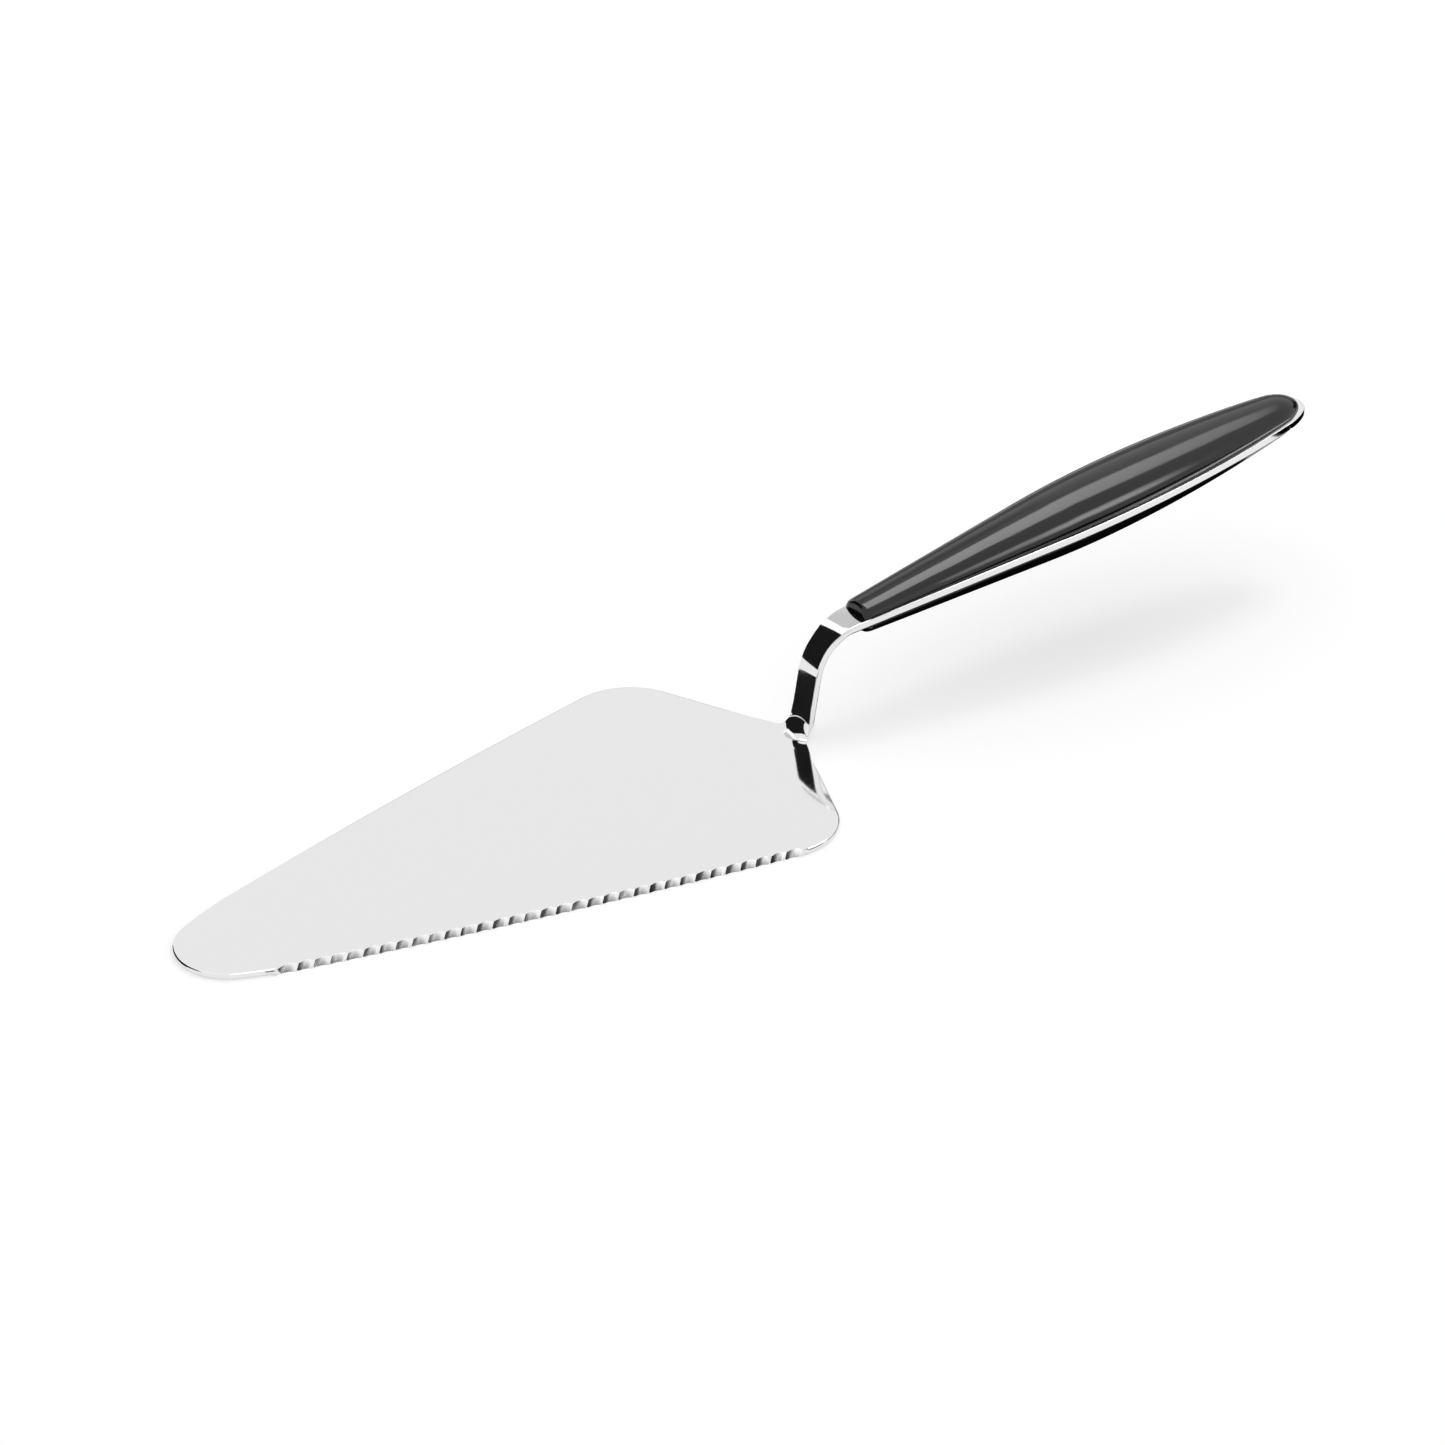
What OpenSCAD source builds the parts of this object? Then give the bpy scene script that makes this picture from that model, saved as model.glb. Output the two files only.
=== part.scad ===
// Cake server: a stamped and polished steel blade with a cranked neck and a full tang,
// faced above and below with black plastic scales that hidden pins hold.
// The nose points along -X, the tail of the handle along +X and the serrated edge along -Y.
// The origin lies in the plane that the blade rests on, midway along the whole server.

/* [Blade] */
// Length of the blade, from its nose to the line of the neck
blade_length = 135.2; // [120:0.2:150]
// Width of the blade across its shoulders
blade_width = 70.8; // [60:0.2:80]
// Distance from the nose to the widest place
blade_widest = 111.8; // [104:0.2:116]
// Thickness of the blade
blade_thickness = 1.1; // [0.8:0.1:1.6]
// Radius of the nose
nose_radius = 10.6; // [8:0.1:13]
// Radius of the cheeks that blend the nose into the long edges
cheek_radius = 81; // [60:1:120]
// How far the circle of the long edges stands out past the nose
cheek_fullness = 0.9; // [0.6:0.1:1.4]
// Radius of the long, slightly bowed edges
edge_radius = 1400; // [1000:10:2200]
// Radius of the two rear shoulders
shoulder_radius = 12.8; // [9:0.1:16]
// How far ahead of the neck the rear edges aim
root_lead = 1; // [0:0.1:2]
// Radius of the fillets where the rear edges run into the neck
root_fillet = 3.6; // [2:0.1:5]

/* [Serrated edge] */
// Number of scallops along the serrated edge
tooth_count = 33; // [20:1:35]
// Distance from tooth to tooth along the edge
tooth_pitch = 3; // [2.9:0.1:3.1]
// Distance along the edge from the nose to the first tooth
tooth_start = 19; // [15:0.5:22]
// Radius of the wheel that grinds a scallop
scallop_radius = 1.55; // [1.5:0.05:1.75]
// Depth of a scallop at the upper face
scallop_depth = 1.15; // [1:0.05:1.2]
// Lean of the grinding wheel, which leaves a scallop shallow at the underside
scallop_lean = 40; // [32:1:41]

/* [Neck] */
// Width of the neck
neck_width = 5.7; // [4.8:0.1:6.6]
// Thickness of the neck
neck_thickness = 1.4; // [1.1:0.1:1.8]
// Steepness of the neck, from level
neck_angle = 80; // [72:0.5:86]
// Height at which the line of the neck meets the line of the handle
neck_height = 21; // [18:0.2:26]
// Radius of the lower bend on its upper side
lower_bend_radius = 4.4; // [3:0.1:5]
// Radius of the upper bend on its under side
upper_bend_radius = 9.6; // [7:0.1:10.4]

/* [Tang] */
// Slope of the handle, from level
handle_angle = 6.45; // [4:0.05:9]
// Length of the tang, from the line of the neck to its tail
tang_length = 124; // [118:0.5:132]
// Width of the tang at its widest
tang_width = 17.7; // [15.5:0.1:19.5]
// Widest place of the tang, as a share of its length from the line of the neck
tang_widest_share = 0.63; // [0.6:0.01:0.66]
// Thickness of the tang
tang_thickness = 1.4; // [1.1:0.1:1.8]
// Distance from the line of the neck to where the tang starts to widen
taper_lead = 1.3; // [0:0.1:4]
// Width that the bowed sides of the tang aim for at its tail
hip_width = 11.2; // [10.4:0.1:13]
// Radius of the hips between the sides and the tail
hip_radius = 15; // [11:0.5:20]
// Radius of the tail
tail_radius = 4.7; // [4:0.1:5.4]

/* [Scales] */
// Distance from the line of the neck to the front of the scales
scale_start = 10; // [9.6:0.1:13]
// Rim of the tang left bare round the tail
ledge_width = 1.2; // [0.6:0.1:1.8]
// Length over which the bare rim grows to its full width
ledge_run = 90; // [60:1:100]
// Height of the upper scale at its front
upper_front_height = 2.2; // [1.8:0.1:3]
// Height of the upper scale at its crest
upper_crest_height = 5.6; // [5:0.1:6.6]
// Height of the lower scale at its front
lower_front_height = 2.7; // [1.8:0.1:3]
// Height of the lower scale at its crest
lower_crest_height = 6; // [5:0.1:6.6]
// Distance from the front of a scale to its crest
crest_distance = 59; // [54:1:64]
// Radius of the line of a scale just ahead of its crest
crest_front_radius = 236; // [180:4:280]
// Fall of the line of a scale from its crest to its tail
crest_fall = 3.1; // [2:0.1:4]
// Length of the rounded tail of a scale
round_length = 5.5; // [4:0.5:9]
// Lean of the front face of a scale
front_lean = 15; // [0:1:25]
// Length over which the lean fades out
lean_run = 8; // [6:1:12]
// Radius of the upright corners of the front face
corner_radius = 1.3; // [0.8:0.1:1.8]
// Radius of the rounding along the top of the front face
brow_radius = 0.5; // [0.3:0.1:0.8]

/* [Hidden pins] */
// Number of pins
pin_count = 3; // [2:1:4]
// Diameter of a pin
pin_diameter = 3; // [2:0.1:3.6]
// How far a pin reaches into each scale
pin_reach = 2; // [1.2:0.1:2.2]
// Distance from the front of the scales to the first pin
first_pin = 19; // [15:0.5:25]
// Distance from the last pin to the tail
last_pin = 25; // [21:0.5:30]

/* [Hidden] */
// Room round a pin in its holes, and the free depth past its ends
pin_clearance = 0.05;
pin_end_gap = 0.2;
// Overrun of cuts past the faces that they cut
overrun = 1;
// How much deeper a bend's circle cuts than its tangent lines, so that they cross cleanly
bend_trim = 0.002;
// Widest step round the drawn arcs, and the least number of steps along one
arc_step = 4;
arc_count = 16;
// Counts of the sections along a scale, of the points across one, and at its front rounding
loft_steps = 44;
section_steps = 28;
corner_steps = 4;
$fn = 96;

// Unit vector at an angle, the angle of a vector, and the cross product in the plane
function unit(a) = [cos(a), sin(a)];
function angle_of(v) = atan2(v.y, v.x);
function turn_of(u, v) = u.x * v.y - u.y * v.x;
// Where a line through p at angle a meets a line through q at angle b
function lines_meet(p, a, q, b) = p + unit(a) * turn_of(q - p, unit(b)) / turn_of(unit(a), unit(b));
// Where two circles meet, to the left (1) or right (-1) of the line between their centres
function circles_meet(a, ra, b, rb, side) =
    let (d = norm(b - a), u = (b - a) / d, t = (ra * ra - rb * rb + d * d) / (2 * d))
    a + u * t + side * sqrt(ra * ra - t * t) * [-u.y, u.x];
// Angle at which a circle's edge is touched by a line from p, on its left (-1) or right (1)
function tangent_turn(c, r, p, side) = angle_of(p - c) + side * acos(r / norm(p - c));
// An arc is [centre, radius, first angle, last angle]: its points, its length, and the
// point and outward angle at a distance along a chain of arcs
function arc_points(arc) =
    let (n = max(arc_count, ceil(abs(arc[3] - arc[2]) / arc_step)))
    [for (i = [0:n]) arc[0] + arc[1] * unit(arc[2] + (arc[3] - arc[2]) * i / n)];
function arc_length(arc) = arc[1] * abs(arc[3] - arc[2]) * PI / 180;
function along(arcs, s, i = 0) =
    i == len(arcs) - 1 || s <= arc_length(arcs[i])
        ? let (a = arcs[i][2] + (arcs[i][3] - arcs[i][2]) * s / arc_length(arcs[i]))
          [arcs[i][0] + arcs[i][1] * unit(a), a]
        : along(arcs, s - arc_length(arcs[i]), i + 1);

// Circles of the blade's half outline, each one touching the next from within
nose_centre = [nose_radius, 0];
shoulder_centre = [blade_widest, blade_width / 2 - shoulder_radius];
edge_centre = circles_meet(nose_centre, edge_radius - nose_radius - cheek_fullness,
    shoulder_centre, edge_radius - shoulder_radius, -1);
cheek_centre = circles_meet(nose_centre, cheek_radius - nose_radius,
    edge_centre, edge_radius - cheek_radius, 1);
nose_turn = angle_of(nose_centre - cheek_centre);
cheek_turn = angle_of(cheek_centre - edge_centre);
edge_turn = angle_of(shoulder_centre - edge_centre);
// The rear edge runs from the shoulder to the root, where it meets the side of the neck
root = [blade_length - root_lead, neck_width / 2];
rear_turn = tangent_turn(shoulder_centre, shoulder_radius, root, 1);
blade_arcs = [
    [nose_centre, nose_radius, 180, nose_turn],
    [cheek_centre, cheek_radius, nose_turn, cheek_turn],
    [edge_centre, edge_radius, cheek_turn, edge_turn],
    [shoulder_centre, shoulder_radius, edge_turn, rear_turn]
];
root_run = root_fillet * tan((90 - rear_turn) / 2);
root_arc = [root + [root_run, root_fillet], root_fillet, 180 + rear_turn, 270];

// Circles of the tang's half outline, measured along the tang from the line of the neck
tail_centre = [tang_length - tail_radius, 0];
tang_widest = tang_widest_share * tang_length;
side_drop = (tang_width - hip_width) / 2;
tang_side_radius = (pow(tail_centre.x - tang_widest, 2) / side_drop + side_drop) / 2;
side_centre = [tang_widest, tang_width / 2 - tang_side_radius];
taper_start = [taper_lead, neck_width / 2];
taper_turn = tangent_turn(side_centre, tang_side_radius, taper_start, -1);
hip_centre = circles_meet(side_centre, tang_side_radius - hip_radius,
    tail_centre, hip_radius - tail_radius, 1);
hip_turn = angle_of(hip_centre - side_centre);
tail_turn = angle_of(tail_centre - hip_centre);
tang_arcs = [
    [side_centre, tang_side_radius, taper_turn, hip_turn],
    [hip_centre, hip_radius, hip_turn, tail_turn],
    [tail_centre, tail_radius, tail_turn, 0]
];
taper_end = side_centre + tang_side_radius * unit(taper_turn);

// Half width of the tang at a distance along it, drawn in by a margin
function arc_end(i, margin) = tang_arcs[i][0].x + (tang_arcs[i][1] - margin) * cos(tang_arcs[i][2]);
function arc_half(i, s, margin) = tang_arcs[i][0].y
    + sqrt(max(0, pow(tang_arcs[i][1] - margin, 2) - pow(s - tang_arcs[i][0].x, 2)));
function tang_half(s, margin) =
    s < arc_end(0, margin)
        ? taper_end.y + (taper_end.x - s) / tan(taper_turn) - margin / sin(taper_turn)
    : arc_half(s < arc_end(1, margin) ? 0 : s < arc_end(2, margin) ? 1 : 2, s, margin);

// Side view of the steel: corners of its upper line and of its under line
foot = [blade_length, blade_thickness];
crank = lines_meet(foot, neck_angle, [0, neck_height], 0);
tail_top = crank + tang_length * unit(handle_angle);
neck_back = foot + neck_thickness * unit(neck_angle - 90);
tang_under = crank + tang_thickness * unit(handle_angle - 90);
heel = lines_meet(neck_back, neck_angle, [0, 0], 0);
inner_crank = lines_meet(neck_back, neck_angle, tang_under, handle_angle);
heel_radius = lower_bend_radius + (heel.x - foot.x) / tan(neck_angle / 2);
crank_radius = upper_bend_radius + tang_thickness;
overall_length = tail_top.x;
overall_height = tail_top.y;

// Line of a scale: a straight rise, a bow over the crest, and a fall to a rounded tail
scale_length = tang_length - ledge_width - scale_start;
function bow_length(rise) =
    crest_distance - sqrt(max(0, pow(crest_distance, 2) - 2 * crest_front_radius * rise));
function crest_line(s, crest, bow) =
    s > crest_distance
        ? crest - crest_fall * pow((s - crest_distance) / (scale_length - crest_distance), 2)
    : s > crest_distance - bow ? crest - pow(s - crest_distance, 2) / (2 * crest_front_radius)
    : crest - (2 * (crest_distance - s) - bow) * bow / (2 * crest_front_radius);
function tail_share(s) = sqrt(max(0, 1 - pow(max(0, (s - scale_length) / round_length + 1), 2)));
function front_ease(s, r) = r - sqrt(pow(r, 2) - pow(max(0, r - s), 2));
function ledge(s) = ledge_width * min(1, s / ledge_run);
function scale_half(s) = tang_half(scale_start + s, ledge(s)) - front_ease(s, corner_radius);
// Stations along a scale, close together at the front rounding and at the tail
stations = concat(
    [for (i = [0:corner_steps - 1]) corner_radius * (1 - cos(90 * i / corner_steps))],
    [for (i = [0:loft_steps - 1])
        corner_radius + (scale_length - corner_radius) * sin(90 * i / loft_steps)]
);
pin_stations = [for (i = [0:pin_count - 1])
    first_pin + (scale_length - last_pin - first_pin) * i / (pin_count - 1)];

// Half outline of the steel seen from above, from the nose to the tail
half_outline = concat(
    [for (arc = blade_arcs) each arc_points(arc)],
    arc_points(root_arc),
    [for (p = concat([taper_start], [for (arc = tang_arcs) each arc_points(arc)]))
        [crank.x + p.x * cos(handle_angle), p.y]]
);

module outline()
    polygon(concat(
        half_outline,
        [for (i = [len(half_outline) - 2:-1:1]) [half_outline[i].x, -half_outline[i].y]]
    ));

// Tangent points and centre of a circle in the corner p between legs at angles a and b
function bend_centre(p, a, b, r) = p + r / sin(abs(a - b) / 2) * unit((a + b) / 2);
function bend_touch(p, a, b, r) = p + r / tan(abs(a - b) / 2) * unit(a);
function bend_points(p, a, b, r) =
    [bend_touch(p, a, b, r), bend_centre(p, a, b, r), bend_touch(p, b, a, r)];

// Hollow side of a bend: the whole circle is cut away
module hollow_bend(p, a, b, r)
    translate(bend_centre(p, a, b, r))
        circle(r + bend_trim);

// Round side of a bend: what lies beyond the circle is cut away
module round_bend(p, a, b, r) {
    c = bend_centre(p, a, b, r);
    difference() {
        polygon([
            c,
            c + 2 * (bend_touch(p, a, b, r) - c),
            c + 4 * (p - c),
            c + 2 * (bend_touch(p, b, a, r) - c)
        ]);
        translate(c)
            circle(r + bend_trim);
    }
}

module side_view() {
    end = 2 * tang_length * unit(handle_angle);
    difference() {
        polygon(concat(
            [[-overrun, foot.y]],
            bend_points(foot, 180, neck_angle, lower_bend_radius),
            [crank, crank + end, inner_crank + end],
            bend_points(inner_crank, handle_angle, neck_angle - 180, upper_bend_radius),
            [heel, [-overrun, 0]]
        ));
        hollow_bend(foot, 180, neck_angle, lower_bend_radius);
        round_bend(heel, 180, neck_angle, heel_radius);
        round_bend(crank, handle_angle, neck_angle - 180, crank_radius);
        hollow_bend(inner_crank, handle_angle, neck_angle - 180, upper_bend_radius);
    }
}

// Puts things where the tang's upper face is the ground and the neck's line the origin
module on_tang()
    translate([crank.x, 0, crank.y])
        rotate([0, -handle_angle, 0])
            children();

module at_origin()
    translate([-overall_length / 2, 0, 0])
        children();

module scallops()
    for (i = [0:tooth_count - 1]) {
        place = along(blade_arcs, tooth_start + (i + 1 / 2) * tooth_pitch);
        translate([place[0].x, -place[0].y, blade_thickness])
            rotate([0, 0, -place[1]])
                translate([scallop_radius / cos(scallop_lean) - scallop_depth, 0, 0])
                    rotate([0, -scallop_lean, 0])
                        cylinder(h = 4 * (blade_thickness + scallop_radius), r = scallop_radius,
                            center = true);
    }

module pin_rods(d, reach_up, reach_down)
    for (s = pin_stations)
        translate([scale_start + s, 0, -tang_thickness - reach_down])
            cylinder(h = tang_thickness + reach_up + reach_down, d = d);

module blade_and_tang()
    color("silver")
        at_origin()
            difference() {
                intersection() {
                    rotate([90, 0, 0])
                        linear_extrude(blade_width + 2 * overrun, center = true)
                            side_view();
                    translate([0, 0, -overrun])
                        linear_extrude(overall_height + 2 * overrun)
                            outline();
                }
                scallops();
                on_tang()
                    pin_rods(pin_diameter + 2 * pin_clearance, overrun, overrun);
            }

// Solid under the line of a scale, flat on the tang and half an ellipse in section
module scale_body(front, crest) {
    bow = bow_length(crest - front);
    rings = [for (s = stations)
        let (h = crest_line(s, crest, bow) * tail_share(s) - front_ease(s, brow_radius), w = scale_half(s),
            lean = tan(front_lean) * max(0, 1 - s / lean_run))
        [for (j = [0:section_steps])
            let (t = 180 * j / section_steps)
            [scale_start + s + h * sin(t) * lean, w * cos(t), h * sin(t)]]];
    size = section_steps + 1;
    last = len(stations) - 1;
    tip = len(stations) * size;
    points = concat([for (ring = rings) each ring], [[scale_start + scale_length, 0, 0]]);
    faces = concat(
        [[for (j = [0:section_steps]) j]],
        [for (i = [0:last - 1], j = [0:section_steps - 1])
            [i * size + j, (i + 1) * size + j, (i + 1) * size + j + 1]],
        [for (i = [0:last - 1], j = [0:section_steps - 1])
            [i * size + j, (i + 1) * size + j + 1, i * size + j + 1]],
        [for (j = [0:section_steps - 1]) [last * size + j, tip, last * size + j + 1]],
        [concat(
            [for (i = [0:last]) i * size + section_steps],
            [tip],
            [for (i = [last:-1:0]) i * size]
        )]
    );
    polyhedron(points, faces);
}

module upper_scale()
    color("dimgray")
        at_origin()
            on_tang()
                difference() {
                    scale_body(upper_front_height, upper_crest_height);
                    pin_rods(pin_diameter + 2 * pin_clearance, pin_reach + pin_end_gap, 0);
                }

module lower_scale()
    color("dimgray")
        at_origin()
            on_tang()
                difference() {
                    translate([0, 0, -tang_thickness])
                        mirror([0, 0, 1])
                            scale_body(lower_front_height, lower_crest_height);
                    pin_rods(pin_diameter + 2 * pin_clearance, 0, pin_reach + pin_end_gap);
                }

module scale_pins()
    color("gold")
        at_origin()
            on_tang()
                pin_rods(pin_diameter, pin_reach, pin_reach);

blade_and_tang();
upper_scale();
lower_scale();
scale_pins();
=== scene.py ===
# %% [markdown]
# # A cake server, dressed for its picture
# The server is one strip of stainless steel that is blade, neck and tang, two black
# moulded scales on the tang, and the hidden pins between them.
# The measured solids are loaded first and never moved. Each visible piece is then
# copied, its edges are eased and its finish is made, so the sizes stay true.

# %% Load the measured solids
import bpy
import math
from mathutils import Matrix, Quaternion, Vector


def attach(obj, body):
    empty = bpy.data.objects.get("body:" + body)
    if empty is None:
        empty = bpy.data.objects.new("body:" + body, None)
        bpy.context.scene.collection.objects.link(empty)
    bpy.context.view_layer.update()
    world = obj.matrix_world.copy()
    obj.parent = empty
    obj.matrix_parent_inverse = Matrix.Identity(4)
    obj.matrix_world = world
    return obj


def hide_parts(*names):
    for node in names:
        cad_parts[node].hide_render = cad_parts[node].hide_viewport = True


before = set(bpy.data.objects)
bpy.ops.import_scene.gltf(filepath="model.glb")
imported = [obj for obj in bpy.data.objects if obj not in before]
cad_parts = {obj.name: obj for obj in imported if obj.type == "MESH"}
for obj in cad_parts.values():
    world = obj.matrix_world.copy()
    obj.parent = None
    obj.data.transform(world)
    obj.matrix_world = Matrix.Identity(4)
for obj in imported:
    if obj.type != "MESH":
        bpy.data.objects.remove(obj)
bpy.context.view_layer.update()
scene = bpy.context.scene
MM = 0.001
print("solids:", sorted(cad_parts))

# %% [markdown]
# ## The camera
# The photograph was taken with a long lens from the front left, looking 30 degrees
# down at the server. The long lens keeps the near nose and the far tail almost at
# the same scale. The camera could be aimed with a constraint, but it is built from
# its three axes instead, so that its slight roll can be given as well.

# %% Camera at the photograph's angle
AZIMUTH, ELEVATION, ROLL = math.radians(-36.212), math.radians(30.042), math.radians(-0.094)
AIM = Vector((-4.36, 12.56, 0)) * MM
DISTANCE = 806.75 * MM
SENSOR_WIDTH, FOCAL_LENGTH = 36, 104.64
CLIP_NEAR, CLIP_FAR = 0.05, 20

back = Vector((math.sin(AZIMUTH) * math.cos(ELEVATION),
               -math.cos(AZIMUTH) * math.cos(ELEVATION), math.sin(ELEVATION)))
level = Vector((0, 0, 1)).cross(back).normalized()
upright = back.cross(level)
across = math.cos(ROLL) * level + math.sin(ROLL) * upright
upward = math.cos(ROLL) * upright - math.sin(ROLL) * level
camera_axes = Matrix((across, upward, back)).transposed().to_4x4()

lens = bpy.data.cameras.new("product_camera")
lens.sensor_width, lens.lens = SENSOR_WIDTH, FOCAL_LENGTH
lens.clip_start, lens.clip_end = CLIP_NEAR, CLIP_FAR
camera = bpy.data.objects.new("product_camera", lens)
camera.matrix_world = Matrix.Translation(AIM + back * DISTANCE) @ camera_axes
scene.collection.objects.link(camera)
scene.camera = camera
scene.view_settings.view_transform = "Standard"
print("camera stands", round(camera.location.length, 3), "m from the middle of the server")

# %% [markdown]
# ## Two small helpers
# Colours are picked as sRGB hex codes, but a shader works with linear light, so one
# function turns one into the other. Each finish is a handful of nodes: one function
# adds a node, sets it and joins it to the nodes before it.

# %% Helpers for colours and nodes
WHITE = (1, 1, 1, 1)


def linear(code):
    """An sRGB hex code such as '#808080' as the linear colour that a shader takes."""
    parts = [int(code[i:i + 2], 16) / 255 for i in (1, 3, 5)]
    return (*[p / 12.92 if p <= 0.04045 else ((p + 0.055) / 1.055) ** 2.4 for p in parts], 1)


def add_node(tree, kind, values=None, sources=None, **settings):
    """Adds a node. Values go on its sockets, sources are joined to them, settings go on it."""
    node = tree.nodes.new("ShaderNode" + kind)
    for name, setting in settings.items():
        setattr(node, name, setting)
    for socket, value in (values or {}).items():
        node.inputs[socket].default_value = value
    for socket, source in (sources or {}).items():
        tree.links.new(source, node.inputs[socket])
    return node


def new_material(name):
    """An empty node material, its node tree and its output node."""
    material = bpy.data.materials.new(name)
    material.use_nodes = True
    tree = material.node_tree
    tree.nodes.clear()
    return material, tree, add_node(tree, "OutputMaterial")


# %% [markdown]
# ## The table
# A polished blade shows whatever stands round it, so the surround matters as much
# as the lamps. The table is a white sheet. It could be lit up to white, but then the
# server would be too bright, so the sheet takes the server's soft shadow and a
# little light of its own, seen by the camera and by mirrors, makes up the rest.

# %% White table
TABLE_SIZE, TABLE_DROP = 6.0, 0.02
TABLE_GLOW = 0.32


def seen_directly(tree):
    """A socket that is 1 where the camera, a mirror or a clear piece looks, and else 0."""
    ray = add_node(tree, "LightPath")
    seen = add_node(tree, "Math", {}, {0: ray.outputs["Is Camera Ray"],
                                       1: ray.outputs["Is Glossy Ray"]}, operation="MAXIMUM")
    seen = add_node(tree, "Math", {}, {0: seen.outputs[0],
                                       1: ray.outputs["Is Transmission Ray"]}, operation="MAXIMUM")
    return seen.outputs[0]


bpy.ops.mesh.primitive_plane_add(size=TABLE_SIZE, location=(0, 0, -TABLE_DROP * MM))
table = bpy.context.object
table.name = "table"

paper, tree, output = new_material("white_table_paper")
lift = add_node(tree, "Math", {1: TABLE_GLOW}, {0: seen_directly(tree)}, operation="MULTIPLY")
glow = add_node(tree, "Emission", {"Color": WHITE}, {"Strength": lift.outputs[0]})
sheet = add_node(tree, "BsdfDiffuse", {"Color": linear("#F2F2F2")})
both = add_node(tree, "AddShader", {}, {0: sheet.outputs[0], 1: glow.outputs[0]})
tree.links.new(both.outputs[0], output.inputs["Surface"])
table.data.materials.append(paper)
print("table:", TABLE_SIZE, "m wide")

# %% [markdown]
# ## The surround
# Behind the table stands plain white paper. A backdrop mesh could do it, but a white
# world does it from every side. It is full white where it is looked at, and softer
# where it works as a lamp, so the shadow under the handle stays.

# %% White surround
SURROUND_LIGHT = 0.72

world = bpy.data.worlds.new("white_surround")
world.use_nodes = True
scene.world = world
tree = world.node_tree
tree.nodes.clear()
seen = seen_directly(tree)
as_lamp = add_node(tree, "Background", {"Color": WHITE, "Strength": SURROUND_LIGHT})
as_paper = add_node(tree, "Background", {"Color": WHITE, "Strength": 1.0})
either = add_node(tree, "MixShader", {}, {0: seen, 1: as_lamp.outputs[0], 2: as_paper.outputs[0]})
tree.links.new(either.outputs[0], add_node(tree, "OutputWorld").inputs["Surface"])
print("surround gives", SURROUND_LIGHT, "of full light")

# %% [markdown]
# ## The soft lamp
# One soft box hangs above the table, well past the tail of the server, so that the
# handle's shadow falls soft and detached in front of it. A sun would draw a hard
# shadow. The box is hidden from reflections, because the cards below decide what
# the polished steel shows.

# %% Soft box above
BOX_WIDTH, BOX_DEPTH, BOX_POWER = 0.25, 0.22, 0.84
BOX_PLACE = (0.483, 0.195, 0.84)

box_light = bpy.data.lights.new("soft_box", "AREA")
box_light.shape, box_light.size, box_light.size_y = "RECTANGLE", BOX_WIDTH, BOX_DEPTH
box_light.energy = BOX_POWER
soft_box = bpy.data.objects.new("soft_box", box_light)
soft_box.location = BOX_PLACE
soft_box.rotation_euler = (-soft_box.location).to_track_quat("-Z", "Y").to_euler()
soft_box.visible_glossy = False
scene.collection.objects.link(soft_box)
print("soft box", round(soft_box.location.length, 2), "m away")

# %% [markdown]
# ## Cards that only the gloss sees
# A product photographer sets white and black cards round polished cutlery. White
# ones draw the bright lines along a curved handle, black ones give the neck its
# dark core. Here each card is a plane that shows in reflections alone: it throws
# no light and no shadow, so it can be placed for its reflection only.

# %% Sheets for the gloss
def new_sheet(name):
    """A plane of one metre, with nothing else selected."""
    bpy.ops.object.select_all(action="DESELECT")
    bpy.ops.mesh.primitive_plane_add(size=1)
    sheet = bpy.context.object
    sheet.name = name
    return sheet


def glowing(name, strength):
    """A material that glows white, its node tree, its output node and its glow."""
    material, tree, output = new_material(name)
    glow = add_node(tree, "Emission", {"Color": WHITE, "Strength": strength})
    return material, tree, output, glow


def show_in_gloss_only(sheet):
    """Hides a sheet from the camera and the lamps, so that only reflections see it."""
    sheet.visible_camera = sheet.visible_diffuse = sheet.visible_shadow = False
    sheet.visible_transmission = sheet.visible_volume_scatter = False


# %% [markdown]
# ## Soft rims
# A reflection of a card with a hard rim ends in a line, and a lamp behind cloth has no
# such line. A blurred picture could do it, but a fade by the place on the card is
# sharper and needs none. Object coordinates run from -0.5 to 0.5 across a sheet.

# %% Ranges and soft rims
HALF_SHEET = 0.5


def spread(tree, source, low, high, new_low, new_high, **settings):
    """Turns the range from low to high of a socket into a new range."""
    ends = {"From Min": low, "From Max": high, "To Min": new_low, "To Max": new_high}
    return add_node(tree, "MapRange", ends, {"Value": source}, **settings).outputs[0]


def faded(tree, split, glow, soft_edge):
    """Fades a glow to nothing over a share of the card at its rim."""
    fades = []
    for axis in "XY":
        near = add_node(tree, "Math", {}, {0: split.outputs[axis]}, operation="ABSOLUTE")
        fades.append(spread(tree, near.outputs[0], HALF_SHEET, HALF_SHEET - soft_edge / 2, 0, 1,
                            interpolation_type="SMOOTHSTEP"))
    share = add_node(tree, "Math", {}, {0: fades[0], 1: fades[1]}, operation="MULTIPLY")
    clear = add_node(tree, "BsdfTransparent")
    return add_node(tree, "MixShader", {}, {0: share.outputs[0], 1: clear.outputs[0],
                                            2: glow.outputs[0]})


# %% [markdown]
# ## A card and its brightness
# A card is placed by its middle and by the point that it faces, as on a stand. It
# could be turned by angles, but a point to face is easier to read. Its brightness
# can run from one end to the other, as when a lamp stands closer to one end.

# %% A card on its stand
UPRIGHT = Vector((0, 0, 1))


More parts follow.
